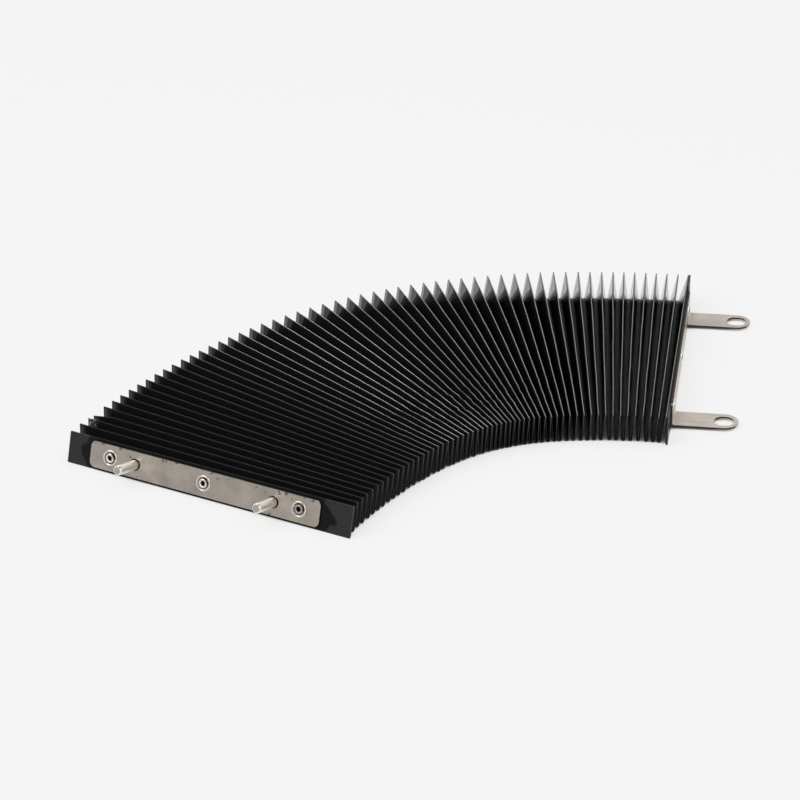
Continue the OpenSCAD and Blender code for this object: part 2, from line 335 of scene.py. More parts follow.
def softened(node, name, rounding):
    """A copy of a CAD node with clean faces and rounded edges, which replaces the node."""
    obj = bpy.data.objects.new(name, frame["nodes"][node].data.copy())
    obj.data.name = name
    obj.data.materials.clear()
    bpy.context.scene.collection.objects.link(obj)
    with opened(obj) as bm:
        bmesh.ops.remove_doubles(bm, verts=bm.verts, dist=WELD)
        bmesh.ops.dissolve_limit(bm, angle_limit=FLAT_ANGLE, verts=bm.verts, edges=bm.edges)
        edges = [edge for edge in bm.edges
                 if len(edge.link_faces) == 2 and edge.calc_face_angle() > EDGE_ANGLE]
        bmesh.ops.bevel(bm, geom=edges, offset=rounding, segments=ROUNDING_SEGMENTS, profile=0.5,
                        affect="EDGES", clamp_overlap=True)
        for face in bm.faces:
            face.smooth = True
    packed_normals = obj.data.attributes.get("custom_normal")
    if packed_normals:
        obj.data.attributes.remove(packed_normals)
    obj.modifiers.new("weighted_normals", "WEIGHTED_NORMAL").weight = NORMAL_WEIGHT
    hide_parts(node)
    return obj


# Where a mix node keeps its sockets for colours.
MIX_FIRST, MIX_SECOND, MIX_RESULT = 6, 7, 2


class Tree:
    """The nodes of a material or of the world."""

    def __init__(self, tree, output):
        self.tree = tree
        self.tree.nodes.clear()
        self.output = self.add(output)

    def add(self, kind, inputs=None, **settings):
        """A new node. Each of its inputs is a constant or the output of another node."""
        node = self.tree.nodes.new(kind)
        for key, value in settings.items():
            setattr(node, key, value)
        for key, item in (inputs or {}).items():
            if isinstance(item, bpy.types.NodeSocket):
                self.tree.links.new(item, node.inputs[key])
            else:
                node.inputs[key].default_value = item
        return node

    def show(self, shader):
        """Ends the tree with this shader."""
        self.tree.links.new(shader.outputs[0], self.output.inputs["Surface"])

    def span(self, value, low, high, to_low=0.0, to_high=1.0, smooth=False):
        """The value moved from one range to another, and kept inside it."""
        inputs = {"Value": value, "From Min": low, "From Max": high,
                  "To Min": to_low, "To Max": to_high}
        curve = "SMOOTHSTEP" if smooth else "LINEAR"
        return self.add("ShaderNodeMapRange", inputs, interpolation_type=curve).outputs["Result"]

    def calc(self, operation, first, second=0.0):
        """One or two values under an operation."""
        return self.add("ShaderNodeMath", {0: first, 1: second}, operation=operation).outputs[0]

    def times(self, first, second):
        """The product of two values."""
        return self.calc("MULTIPLY", first, second)

    def blend(self, factor, first, second):
        """A colour between two, each a colour or a socket."""
        first, second = (item if isinstance(item, bpy.types.NodeSocket) else (*item, 1.0)
                         for item in (first, second))
        inputs = {"Factor": factor, MIX_FIRST: first, MIX_SECOND: second}
        return self.add("ShaderNodeMix", inputs, data_type="RGBA").outputs[MIX_RESULT]

    def dot(self, vector, direction):
        """How far a vector reaches along a fixed direction."""
        return self.add("ShaderNodeVectorMath", {0: vector, 1: tuple(direction)},
                        operation="DOT_PRODUCT").outputs["Value"]

    def seen(self, rays):
        """1 for what the camera sees, directly or in metal and glass, and 0 for light."""
        mirrored = self.calc("MAXIMUM", rays["Is Glossy Ray"], rays["Is Transmission Ray"])
        return self.calc("MAXIMUM", rays["Is Camera Ray"], mirrored)

    def show_between(self, factor, first, second):
        """Ends the tree with a mix of two shaders."""
        self.show(self.add("ShaderNodeMixShader", {
            "Fac": factor, 1: first.outputs[0], 2: second.outputs[0]}))


class Surface(Tree):
    """The nodes of one material."""

    def __init__(self, name):
        self.material = bpy.data.materials.new(name)
        self.material.use_nodes = True
        super().__init__(self.material.node_tree, "ShaderNodeOutputMaterial")
        self.place = self.add("ShaderNodeTexCoord").outputs["Object"]

    def finished(self, inputs):
        """The material, with these inputs on its one shader."""
        self.show(self.add("ShaderNodeBsdfPrincipled", inputs))
        return self.material

    def noise(self, scale, detail=3.0, roughness=0.5, place=None):
        """Value of a noise, its scale in waves per metre."""
        inputs = {"Scale": scale, "Detail": detail, "Roughness": roughness,
                  "Vector": place or self.place}
        return self.add("ShaderNodeTexNoise", inputs).outputs["Fac"]

    def bump(self, height, strength, distance):
        """A bump normal from a height."""
        inputs = {"Strength": strength, "Distance": distance, "Height": height}
        return self.add("ShaderNodeBump", inputs).outputs["Normal"]

    def attribute(self, name):
        """A number that the mesh carries at its points."""
        return self.add("ShaderNodeAttribute", attribute_name=name).outputs["Fac"]

    def distance_along(self, origin, direction):
        """How far a place lies from the origin along a direction."""
        move = self.add("ShaderNodeVectorMath", {0: self.place, 1: tuple(origin)},
                        operation="SUBTRACT")
        return self.dot(move.outputs["Vector"], direction)


def scaled(tint, factor):
    """A colour made lighter or darker, up to white."""
    return tuple(min(1.0, factor * c) for c in tint)


def sheet_material(finish):
    """Glossy black sheet with paler pressed folds, partly real whitening and partly a painted
    highlight, and faint handling marks.
    """
    m = Surface("glossy_black_sheet")
    breaks = m.times(m.attribute("kinked"), m.span(m.noise(170.0, 2.0), 0.47, 0.60))
    # The pale folds: real whitening of the pressed creases plus a painted highlight along the
    # crests.
    crease_and_highlight = m.times(m.attribute("crease_and_highlight"), m.calc("SUBTRACT", 1.0, m.times(breaks, 0.85)))
    patchy = m.times(m.span(m.noise(200.0, 4.0), 0.3, 0.7, 0.65, 1.0),
                     m.span(m.noise(28.0, 2.0), 0.35, 0.65, 0.8, 1.1))
    scars = m.times(m.attribute("crushed"), m.span(m.noise(900.0), 0.52, 0.62))
    marked = m.calc("MAXIMUM", m.times(crease_and_highlight, patchy), m.times(scars, 0.5))
    smears = m.span(m.noise(70.0, 4.0, 0.6), 0.35, 0.7, 0.035, 0.08)
    return m.finished({
        "Base Color": m.blend(marked, finish.sheet, finish.crease_and_highlight),
        "Roughness": m.calc("ADD", smears, m.times(crease_and_highlight, 0.4)),
        "IOR": 1.5,
        "Specular IOR Level": m.times(m.attribute("shine"), 0.25),
        "Normal": m.bump(m.noise(90.0, 2.0), 0.12, 0.2 * MM),
    })


def cut_edge_material(finish):
    """The sheet's cut ends: dark, with a painted highlight as a paler line on the panels that face
    the near end.
    """
    m = Surface("sheet_cut_edge")
    # A painted highlight on the cut ends, broken up by noise.
    tone = m.times(m.attribute("cut_light"), m.span(m.noise(900.0), 0.3, 0.7, 0.6))
    return m.finished({
        "Base Color": m.blend(tone, scaled(finish.cut_edge_and_highlight, 0.03), finish.cut_edge_and_highlight),
        "Roughness": 0.5,
        "IOR": 1.5,
        "Specular IOR Level": 0.12,
    })


def board_material(name, finish, end, plate_middle, plate_half):
    """Matt black board, stained round its plate: a patch past one end, a wedge past the other."""
    m = Surface(name)
    side = m.distance_along(plate_middle, end.across)
    height = m.distance_along(plate_middle, end.climb)
    past_plate = m.calc("SUBTRACT", m.calc("ABSOLUTE", side), plate_half)
    # How far each stain reaches past the plate, at every height.
    wedge = m.calc("MINIMUM", m.span(height, -1.5 * MM, 6.8 * MM, 9.4 * MM, 1.5 * MM),
                   m.span(height, -6.8 * MM, -1.5 * MM, 4.0 * MM, 9.4 * MM))
    patch = m.span(m.calc("ABSOLUTE", height), 2.0 * MM, 7.8 * MM, 6.0 * MM, 1.2 * MM)
    outer = m.span(side, -1.0 * MM, 1.0 * MM)
    reach = m.calc("ADD", m.times(outer, patch), m.times(m.calc("SUBTRACT", 1.0, outer), wedge))
    ragged = m.calc("ADD", reach, m.span(m.noise(260.0), 0.3, 0.7, -1.2 * MM, 1.2 * MM))
    stain = m.span(m.calc("SUBTRACT", ragged, past_plate), -0.6 * MM, 0.8 * MM, smooth=True)
    mottle = m.span(m.noise(240.0, 5.0, 0.6), 0.3, 0.7, 0.0, 0.35)
    plain = m.blend(mottle, finish.board, scaled(finish.board, 1.5))
    rough = m.span(m.noise(160.0, 4.0), 0.3, 0.7, 0.30, 0.45)
    return m.finished({
        "Base Color": m.blend(stain, plain, finish.stain),
        "Roughness": m.calc("ADD", rough, m.times(stain, 0.4)),
        "IOR": 1.5,
        "Specular IOR Level": 0.22,
        "Normal": m.bump(m.noise(2600.0), 0.35, 0.04 * MM),
    })


def steel_material(name, finish, end, centre, half_height):
    """Tan-grey rolled steel, faintly brushed, with smudges near its upper edge and brown edges."""
    m = Surface(name)
    cloud = m.span(m.noise(95.0, 5.0, 0.62), 0.3, 0.7)
    warm = m.blend(cloud, scaled(finish.steel, 0.88), scaled(finish.steel, 1.1))
    height = m.distance_along(centre, end.climb)
    flat = m.add("ShaderNodeCombineXYZ", {
        "X": m.times(m.distance_along(centre, end.across), 0.7), "Y": height}).outputs[0]
    rim = m.span(height, 0.45 * half_height, 0.95 * half_height, 0.0, 0.12)
    smudge = m.calc("ADD", m.noise(430.0, 2.0, place=flat), rim)
    smudge = m.span(smudge, 0.66, 0.76, smooth=True)
    faint = m.span(m.noise(90.0, 2.0, place=flat), 0.52, 0.68, 0.0, 0.16)
    dirt = m.calc("MAXIMUM", m.times(smudge, 0.75), faint)
    facing = m.dot(m.add("ShaderNodeNewGeometry").outputs["Normal"], end.across)
    sheared = m.calc("MAXIMUM", m.span(m.calc("ABSOLUTE", facing), 0.35, 0.7),
                     m.span(height, 0.955 * half_height, 0.985 * half_height))
    drawn_out = m.add("ShaderNodeMapping", {"Vector": m.place, "Scale": (1.0, 1.0, 14.0)})
    brushed = m.noise(260.0, 4.0, 0.6, place=drawn_out.outputs["Vector"])
    return m.finished({
        "Base Color": m.blend(sheared, m.blend(dirt, warm, finish.steel_dirt), finish.oxide),
        "Metallic": 1.0,
        "Roughness": m.span(brushed, 0.3, 0.7, 0.30, 0.46),
        "Normal": m.bump(brushed, 0.15, 0.03 * MM),
    })


def bright_material(finish):
    """Bright plated studs and rivets, darkened to brown where the mesh says so, by dirt and by
    painted shade in recesses.
    """
    m = Surface("bright_plating")
    tone = m.span(m.noise(420.0, 4.0), 0.3, 0.7)
    clean = m.blend(tone, scaled(finish.bright, 0.9), finish.bright)
    blotch = m.span(m.noise(900.0, 4.0, 0.7), 0.35, 0.6, 0.7, 1.5)
    grime_and_shade = m.calc("MINIMUM", m.times(m.attribute("grime_and_shade"), blotch), 1.0)
    rough = m.span(m.noise(700.0, 4.0), 0.3, 0.7, 0.20, 0.32)
    return m.finished({
        "Base Color": m.blend(grime_and_shade, clean, finish.grime_and_shade),
        "Metallic": 1.0,
        "Roughness": m.calc("ADD", rough, m.times(grime_and_shade, 0.35)),
    })


def crest_place(sheet, i):
    """Length along the middle line at the crest i, counted from the far board."""
    g = i / sheet.pleats
    return (i * sheet.pitch - sheet.gather * math.sin(math.pi * g)
            + sheet.gather_middle * math.sin(2 * math.pi * g)
            + sheet.gather_thirds * math.sin(3 * math.pi * g)
            - sheet.gather_waves * (1 - math.cos(6 * math.pi * g)))


def valley_place(sheet, i):
    """Length along the middle line at the valley i."""
    return ((crest_place(sheet, i) + crest_place(sheet, i + 1)) / 2
            + sheet.first_shift * sheet.shift_decay ** i)


# The crushed outer corner: by crest, counted from the near end, its push along and its sink.
CRUSHED = {-2: (-0.5 * MM, 0.5 * MM), -3: (1.5 * MM, 1.3 * MM)}
CRUSHED_CREST = 2.5
CRUSHED_REACH = 7.0 * MM
CRUSHED_SCARS = 1.6
# The kinks: their middle and spread along the cover, then across it from -1 inside to 1 outside.
KINK_PLACE, KINK_LENGTH, KINK_ACROSS, KINK_WIDTH = 0.52, 0.22, -0.62, 0.25


def kinked(place, q):
    """How kinked the sheet is: most in the middle of the bend, near the inner ends."""
    return (np.exp(-((place - KINK_PLACE) / KINK_LENGTH) ** 2)
            * np.exp(-((q - KINK_ACROSS) / KINK_WIDTH) ** 2))


# A fold's inner end and outer corner, in half widths.
INNER_PART, CORNER_PART = 0.25, 0.14
# Noises of the folds: scale across the sheet and step from fold to fold.
COARSE_WAVER, FINE_WAVER, KINKS = (2.6, 0.55), (8.0, 0.9), (17.0, 2.3)
# How far the middle line stays inside the cover's height, in thicknesses.
LINE_DEPTH = 0.75
# Extra rows inside a panel, by their share of its height. The middle one is bowed.
PANEL_STOPS, BOWED_STOP = (0.05, 0.5, 0.95), 0.5
# Paleness of the creases along the cover, from real whitening and a painted highlight that is
# brightest in the middle of the bend, and more of it at their inner tips.
CREASE_PLACES = (0.0, 0.03, 0.12, 0.3, 0.48, 0.55, 0.62, 0.70, 0.77, 0.84, 0.98, 1.0)
CREASE_WEAR_AND_HIGHLIGHT = (0.35, 0.31, 0.33, 0.43, 0.48, 0.85, 1.0, 0.46, 0.14, 0.03, 0.01, 0.0)
TIP_WEAR = 0.12
# Gloss of the sheet along the cover.
SHINE_PLACES = (0.0, 0.5, 0.75, 1.0)
SHINE = (1.0, 1.0, 0.45, 0.30)


class SheetLines:
    """The sheet's middle lines, one row of points for each line that runs across it."""

    def __init__(self, ground):
        self.ground, self.sheet = ground, ground.sheet
        self.q = np.linspace(-1.0, 1.0, self.sheet.stations)
        self.inner = np.clip((-self.q - 1.0 + INNER_PART) / INNER_PART, 0.0, 1.0) ** 2
        self.corner = np.clip((self.q - 1.0 + CORNER_PART) / CORNER_PART, 0.0, 1.0)
        self.crest_z = ground.board_h - LINE_DEPTH * self.sheet.thickness
        self.valley_z = self.sheet.clearance + LINE_DEPTH * self.sheet.thickness
        # Each line: its points, its place along the pleats from 0 to 1, how pressed it is, and
        # whether a flat panel follows.
        self.lines = []
        self.lay()

    def fold(self, centres, step, climb, height, place, crest=True):
        """The rows round one fold, from its far side to its near side."""
        sheet = self.sheet
        side, count = (1, sheet.crest_points) if crest else (-1, sheet.valley_points)
        swollen = sheet.valley_radius + sheet.valley_swell * self.inner
        radius = np.full(len(self.q), sheet.crest_radius) if crest else swollen
        for t in np.linspace(-1.0, 1.0, count):
            angle = t * sheet.fold_angle
            rise = height - side * radius * (1 - math.cos(angle))
            reach = radius * math.sin(angle)
            row = centres + reach[:, None] * step + rise[:, None] * climb
            pressed = max(0.0, 1.0 - 2.0 * abs(t)) if crest else 0.0
            self.lines.append((row, place, pressed, t == 1.0))

    def fade(self, i, reach):
        """1 for most folds, and less for those within reach of a board."""
        return max(0.0, min(1.0, i / reach, (self.sheet.pleats - i) / reach))

    def ripple(self, i, scales, salt):
        """A noise at the points of a fold."""
        across, step = scales
        return np.array([noise.noise(Vector((across * s, step * i, salt))) for s in self.q])

    def waver(self, i, size, salt):
        """How far a crest's points stray."""
        return size * self.fade(i, 3) * (self.ripple(i, COARSE_WAVER, salt)
                                         + 0.5 * self.ripple(i, FINE_WAVER, salt + 7.0))

    def kinks(self, i, salt):
        """How far the middle crests are kinked near their inner ends."""
        return (self.sheet.wrinkle * kinked(i / self.sheet.pleats, self.q)
                * self.ripple(i, KINKS, salt))

    def stray(self, i):
        """How far a whole crest strays along the cover."""
        return (self.sheet.uneven * self.fade(i, 2)
                * noise.noise(Vector((0.37, 1.3 * i + 0.5, 21.0))))

    def end_stray(self, i, salt):
        """How far a valley's inner end strays."""
        return (self.sheet.end_waver * self.fade(i, 3) * self.inner
                * noise.noise(Vector((0.61, 1.7 * i + 0.5, salt))))

    def across_at(self, s, half):
        """Points across the cover at the length s, and the step along it there."""
        s = np.full(len(self.q), s)
        angle = heading(s, self.ground.length, self.ground.bend)
        return self.ground.at(s) + (self.q * half)[:, None] * outward(angle), along(angle)

    def crest(self, i):
        """A free crest, with its waver, its kinks and its crushed corner."""
        sheet = self.sheet
        centres, step = self.across_at(crest_place(sheet, i) + self.stray(i), sheet.width / 2)
        push, sink = CRUSHED.get(i - sheet.pleats, (0.0, 0.0))
        aside = self.waver(i, sheet.waver, salt=1.0) + self.kinks(i, salt=51.0)
        aside = aside + push * self.corner
        height = (self.crest_z + self.waver(i, sheet.height_waver, salt=4.0)
                  - sink * self.corner - np.abs(self.kinks(i, salt=57.0)))
        self.fold(centres + aside[:, None] * step, step, UP, height, i / sheet.pleats)

    def valley(self, i):
        """A valley, with its stray inner end."""
        sheet = self.sheet
        half = sheet.width / 2 - sheet.valley_inset
        centres, step = self.across_at(valley_place(sheet, i), half)
        aside = 2.0 * self.end_stray(i, salt=31.0)
        height = self.valley_z + 1.5 * np.abs(self.end_stray(i, salt=37.0))
        self.fold(centres + aside[:, None] * step, step, UP, height, (i + 0.5) / sheet.pleats,
                  crest=False)

    def flap(self, end):
        """Centres of the crest over an end's flap, and the row where the flap stops."""
        sheet = self.sheet
        back = sheet.seat_gap + sheet.thickness / 2
        reach = sheet.crest_radius * math.sin(sheet.fold_angle)
        foot_z = self.valley_z + sheet.valley_radius * (1 - math.cos(sheet.fold_angle))
        across = (self.q * sheet.width / 2)[:, None]
        return end.point(-back - reach, across, 0.0), end.point(-back, across, foot_z)

    def lay(self):
        """Lays all rows, from the flap at the far board to the flap at the near one."""
        far, near = self.ground.far, self.ground.near
        centres, foot = self.flap(far)
        self.lines.append((foot, 0.0, 0.0, True))
        self.fold(centres, -far.normal, UP, self.crest_z, 0.0)
        for i in range(self.sheet.pleats):
            if i > 0:
                self.crest(i)
            self.valley(i)
        centres, foot = self.flap(near)
        self.fold(centres, near.normal, near.climb, self.crest_z, 1.0)
        self.lines.append((foot, 1.0, 0.0, False))

    def bowed(self, row, panel, i):
        """A row inside a panel, bowed a little."""
        normal = np.cross(np.gradient(row, axis=0), panel)
        normal /= np.linalg.norm(normal, axis=1)[:, None]
        bow = np.array([noise.noise(Vector((3.0 * k / len(row), 0.7 * i, 11.0)))
                        for k in range(len(row))])
        return row + (self.sheet.panel_bow * bow)[:, None] * normal

    def with_panels(self):
        """All points, places and pressings, with extra rows inside each flat panel."""
        lines = [self.lines[0][:3]]
        for i, (before, after) in enumerate(zip(self.lines, self.lines[1:]), 1):
            row, place, _, panel_follows = before
            panel, climb = after[0] - row, after[1] - place
            free = 0.0 < place < 1.0 and 0.0 < after[1] < 1.0
            for stop in PANEL_STOPS if panel_follows else ():
                inside = row + stop * panel
                if stop == BOWED_STOP and free:
                    inside = self.bowed(inside, panel, i)
                lines.append((inside, place + stop * climb, 0.0))
            lines.append(after[:3])
        return [np.array(column) for column in zip(*lines)]


def face_offsets(rows, thickness):
    """Offset of every point to the sheet's upper face, mitred at the folds."""
    across = np.gradient(rows, axis=1)
    steps = rows[1:] - rows[:-1]
    normals = np.cross(across[:-1], steps)
    normals /= np.linalg.norm(normals, axis=2)[..., None]
    before = np.concatenate([normals[:1], normals])
    after = np.concatenate([normals, normals[-1:]])
    cosine = (before * after).sum(-1)[..., None]
    return (before + after) / (1 + cosine) * thickness / 2


def falling_light(rows):
    """How strong the painted highlight on each row's cut end is: 1 under a crest on its near side,
    less further down.
    """
    height = rows[:, 0, 2]
    share = (height - height.min()) / (height.max() - height.min())
    ahead = np.append(height[1:] - height[:-1], 0.0)
    return np.where(ahead < -0.0001 * MM, 0.08 + 0.92 * share ** 3, 0.0)


def shell_faces(count, stations):
    """Faces of the closed sheet: those of its two sides, then those of its cut ends."""
    def quads(*corners):
        return np.stack(corners, -1).reshape(-1, 4).tolist()

    upper, lower = np.arange(2 * count * stations).reshape(2, count, stations)
    sides = quads(upper[:-1, :-1], upper[:-1, 1:], upper[1:, 1:], upper[1:, :-1])
    sides += quads(lower[:-1, :-1], lower[1:, :-1], lower[1:, 1:], lower[:-1, 1:])
    cuts = []
    for c in (0, -1):
        cuts += quads(upper[:-1, c], upper[1:, c], lower[1:, c], lower[:-1, c])
        cuts += quads(upper[c, :-1], upper[c, 1:], lower[c, 1:], lower[c, :-1])
    return sides, cuts


def mark_sheet(obj, ground, rows, places, pressed):
    """Numbers at the sheet's points that say where it is whitened and carries a painted highlight,
    kinked, crushed or dull, and how strong the painted highlight on its cut ends is.
    """
    stations = rows.shape[1]

    def on_both_sides(values):
        return np.tile(np.broadcast_to(values, rows.shape[:2]).reshape(-1), 2)

    # Whitening of the creases and their painted highlight, by place along the cover.
    wear_and_highlight = np.repeat(np.interp(places, CREASE_PLACES, CREASE_WEAR_AND_HIGHLIGHT)[:, None], stations, 1)
    wear_and_highlight[:, 0] += TIP_WEAR
    marked = (pressed[:, None] * wear_and_highlight).reshape(-1)
    set_number(obj, "crease_and_highlight", np.concatenate([marked, 0 * marked]))
    set_number(obj, "kinked", on_both_sides(kinked(places[:, None], np.linspace(-1, 1, stations))))
    set_number(obj, "shine", on_both_sides(np.interp(places, SHINE_PLACES, SHINE)[:, None]))
    set_number(obj, "cut_light", on_both_sides(falling_light(rows)[:, None]))
    sheet = ground.sheet
    spot = ground.at(np.array([crest_place(sheet, sheet.pleats - CRUSHED_CREST)]))[0]
    spot = spot + sheet.width / 2 * ground.near.across + ground.board_h * UP
    points = np.array([vertex.co for vertex in obj.data.vertices])
    away = np.linalg.norm(points - spot, axis=1)
    scars = np.clip(CRUSHED_SCARS * (1.0 - away / CRUSHED_REACH), 0.0, 1.0)
    set_number(obj, "crushed", scars)


def pleated_sheet(scene):
    """One closed, continuous folded sheet, fanned round the bend."""
    ground = Ground(scene)
    rows, places, pressed = SheetLines(ground).with_panels()
    offset = face_offsets(rows, ground.sheet.thickness)
    count, stations = rows.shape[:2]
    points = np.concatenate([(rows + offset).reshape(-1, 3), (rows - offset).reshape(-1, 3)])
    sides, cuts = shell_faces(count, stations)
    obj = add_mesh("pleated_sheet", points, sides + cuts)
    face_outward(obj)
    for material in (sheet_material, cut_edge_material):
        obj.data.materials.append(material(scene.cover_finish))
    obj.data.polygons.foreach_set("use_smooth", [True] * len(sides) + [False] * len(cuts))
    obj.data.polygons.foreach_set("material_index", [0] * len(sides) + [1] * len(cuts))
    mark_sheet(obj, ground, rows, places, pressed)
    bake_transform(obj)
    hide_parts("folded_sheet")


def end_boards(scene):
    """Both black boards, with rounded edges and their stains."""
    ground = Ground(scene)
    low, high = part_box("far_plate")
    half_length = (high.y - low.y) / 2
    for side in ("far", "near"):
        obj = softened(f"{side}_board", f"{side}_end_board", scene.cover_fasteners.board_round)
        obj.data.materials.append(board_material(
            f"{side}_board_plastic", scene.cover_finish, getattr(ground, side),
            plate_centre(ground, side), half_length))
        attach(obj, f"{side}_end")


def plate_centre(ground, side):
    """Middle of a plate's back face, on its board."""
    low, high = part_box(f"{side}_plate")
    end = getattr(ground, side)
    across = np.dot(np.array((low + high) / 2) - end.foot, end.across)
    return end.point(ground.board_t, across, ground.board_h / 2)


def end_plates(scene):
    """The near plate and the far plate with its two lugs."""
    ground = Ground(scene)
    low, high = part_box("far_plate")
    half_height = (high.z - low.z) / 2
    for side, name in (("near", "near_face_plate"), ("far", "far_lug_plate")):
        obj = softened(f"{side}_plate", name, scene.cover_fasteners.edge_round)
        obj.data.materials.append(steel_material(
            f"{side}_plate_steel", scene.cover_finish, getattr(ground, side),
            plate_centre(ground, side), half_height))
        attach(obj, f"{side}_end")


# A stud: its head in the back of the plate, its bevelled tip, and its dark marks: painted shade on
# the head and neck in the plate's bore, and a darker tip face.
HEAD_RADIUS, HEAD_THICKNESS, HEAD_ROUND = 3.8 * MM, 0.5 * MM, 0.1 * MM
STUD_BEVEL, STUD_NECK = 0.7 * MM, 0.2 * MM
ROWS_PER_TURN = 6
HEAD_SHADE, NECK_SHADE, TIP_DARKENING = 0.9, 0.2, 0.3


def threaded_stud(fasteners, ground, place, material):
    """A stud with a shallow thread, a bevelled tip and a flush head, in the near plate."""
    mount = next(mount for mount in frame["record"]["mounts"]
                 if mount["name"] == f"near_stud_{place}_thread")
    end = ground.near
    radius = mount["dims"]["r_mm"] * MM
    half = mount["dims"]["length_mm"] * MM / 2
    middle = np.array(mount["pos_m"])
    back = np.dot(end.point(ground.board_t, 0, 0) - middle, end.normal)
    front, neck = back + HEAD_THICKNESS, radius - STUD_NECK
    head = [(HEAD_RADIUS - HEAD_ROUND, back), (HEAD_RADIUS, back + HEAD_ROUND),
            (HEAD_RADIUS, front), (neck, front)]
    thread = []
    rows = int(2 * half / fasteners.thread_pitch * ROWS_PER_TURN)
    for row in range(rows + 1):
        fade = min(1.0, row / ROWS_PER_TURN, (rows - row) / ROWS_PER_TURN)
        turns = row / ROWS_PER_TURN - np.arange(SEGMENTS) / SEGMENTS
        groove = fasteners.thread_depth * fade * (0.5 - 0.5 * np.cos(2 * math.pi * turns))
        thread.append((radius - groove, -half + 2 * half * row / rows))
    bevel = [(radius - 0.5 * STUD_BEVEL, half + 0.42 * STUD_BEVEL),
             (radius - STUD_BEVEL, half + STUD_BEVEL)]
    profile = [*head, (neck, -half), *thread, *bevel, (radius - 1.25 * STUD_BEVEL, bevel[-1][1])]
    obj = turned(f"{place}_threaded_stud", end, middle, profile)
    # Painted shade on the head and neck in the plate's bore, and a darker tip face.
    grime_and_shade = [HEAD_SHADE] * len(head) + [NECK_SHADE] + [0.0] * len(thread + bevel) + [TIP_DARKENING]
    set_number(obj, "grime_and_shade", np.repeat(grime_and_shade, SEGMENTS))
    sharp_by_angle(obj, 40.0)
    obj.data.materials.append(material)
    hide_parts(f"near_stud_{place}")
    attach(obj, "near_end")


def studs(scene):
    """Both studs of the near end."""
    ground = Ground(scene)
    material = bright_material(scene.cover_finish)
    for place in ("outer", "inner"):
        threaded_stud(scene.cover_fasteners, ground, place, material)


PLACES = {"outer": 1, "middle": 0, "inner": -1}
# A rivet, from its spread tail through its rim and groove to its bead and hole.
TAIL_RADIUS, TAIL_THICKNESS, SHANK_RADIUS = 2.8 * MM, 0.5 * MM, 1.6 * MM
RIM_RADIUS, RIM_HEIGHT = 4.0 * MM, 0.45 * MM
GROOVE_RADIUS, GROOVE_HEIGHT, GROOVE_MIDDLE = 3.2 * MM, 0.12 * MM, 2.75 * MM
BEAD_RADIUS, BEAD_HEIGHT, BEAD_THICKNESS, CROWN_CUT = 2.35 * MM, 0.8 * MM, 1.1 * MM, 0.06 * MM
HOLE_RADIUS = 0.95 * MM
# Dirt and painted shade of a rivet: its ends in the hole and on the bead, its width in the groove,
# and the side where a painted shadow widens it.
HOLE_SHADE_END, BEAD_END, GROOVE_DARK_FADE = 1.1 * MM, 2.5 * MM, 0.25 * MM
GROOVE_DARK_LEAST, GROOVE_DARK_MORE = 0.18 * MM, 0.34 * MM
SHADOW_HEART = math.radians(-50.0)
WORN_BEAD = {("near", "inner"): 0.45}


def groove_grime_and_shade(radius, depth, angle, marked):
    """Dirt and painted shade of a rivet: painted shade in its hole, and dirt with painted shade in
    its groove, widest up and inward where a painted shadow falls.
    """
    if radius < HOLE_SHADE_END:
        return 1.0
    if depth < -0.01 * MM:
        return 0.8
    reach = GROOVE_DARK_LEAST + GROOVE_DARK_MORE * (0.5 + 0.5 * math.cos(angle - SHADOW_HEART)) ** 2
    groove = (reach - abs(radius - GROOVE_MIDDLE)) / GROOVE_DARK_FADE + 0.5
    return max(0.0, min(1.0, groove), marked if radius < BEAD_END else 0.0)


def rolled_rivet(fasteners, ground, side, place, metal):
    """A tubular rivet with a rim, a groove darkened by dirt and painted shade, a rolled bead and a
    hole.
    """
    end = getattr(ground, side)
    plate_t = fasteners.plate_thickness
    centre = plate_centre(ground, side) + plate_t * end.normal
    centre = centre + PLACES[place] * fasteners.rivet_spread * end.across
    grip = plate_t + ground.board_t + ground.sheet.thickness + 2 * ground.sheet.seat_gap
    tail = -grip - TAIL_THICKNESS
    hole_depth = plate_t + ground.board_t / 2
    rim_round = (RIM_RADIUS - GROOVE_RADIUS) / 2
    bead_round = BEAD_THICKNESS / 2
    profile = [(0.0, tail), (0.6 * TAIL_RADIUS, tail), (TAIL_RADIUS - 0.15 * MM, tail),
               (TAIL_RADIUS, tail + TAIL_THICKNESS / 2), (TAIL_RADIUS - 0.05 * MM, -grip),
               (SHANK_RADIUS, -grip), (SHANK_RADIUS, 0.0),
               (RIM_RADIUS - 0.1 * MM, 0.0), (RIM_RADIUS, 0.05 * MM)]
    profile += arc((RIM_RADIUS - rim_round, RIM_HEIGHT - rim_round), rim_round, 0, 180, 9)
    profile += [(radius, GROOVE_HEIGHT)
                for radius in (GROOVE_RADIUS, 2.7 * MM, BEAD_RADIUS - 0.1 * MM)]
    bead = arc((BEAD_RADIUS - bead_round, BEAD_HEIGHT + CROWN_CUT - bead_round), bead_round,
               -40, 150, 15)
    profile += [(radius, min(depth, BEAD_HEIGHT)) for radius, depth in bead]
    profile += [(HOLE_RADIUS, BEAD_HEIGHT - 0.75 * BEAD_THICKNESS), (HOLE_RADIUS, -hole_depth),
                (0.0, -hole_depth)]
    obj = turned(f"{side}_{place}_rivet", end, centre, profile)
    away = np.array([vertex.co for vertex in obj.data.vertices]) - centre
    depth, climb, across = away @ end.normal, away @ end.climb, away @ end.across
    marked = WORN_BEAD.get((side, place), 0.0)
    # Painted shade in the hole and groove, mixed with dirt.
    set_number(obj, "grime_and_shade", [groove_grime_and_shade(math.hypot(u, v), d, math.atan2(v, u), marked)
                              for d, u, v in zip(depth, climb, across)])
    sharp_by_angle(obj, 50.0)
    obj.data.materials.append(metal)
    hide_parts(f"{side}_rivet_{place}")
    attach(obj, f"{side}_end")


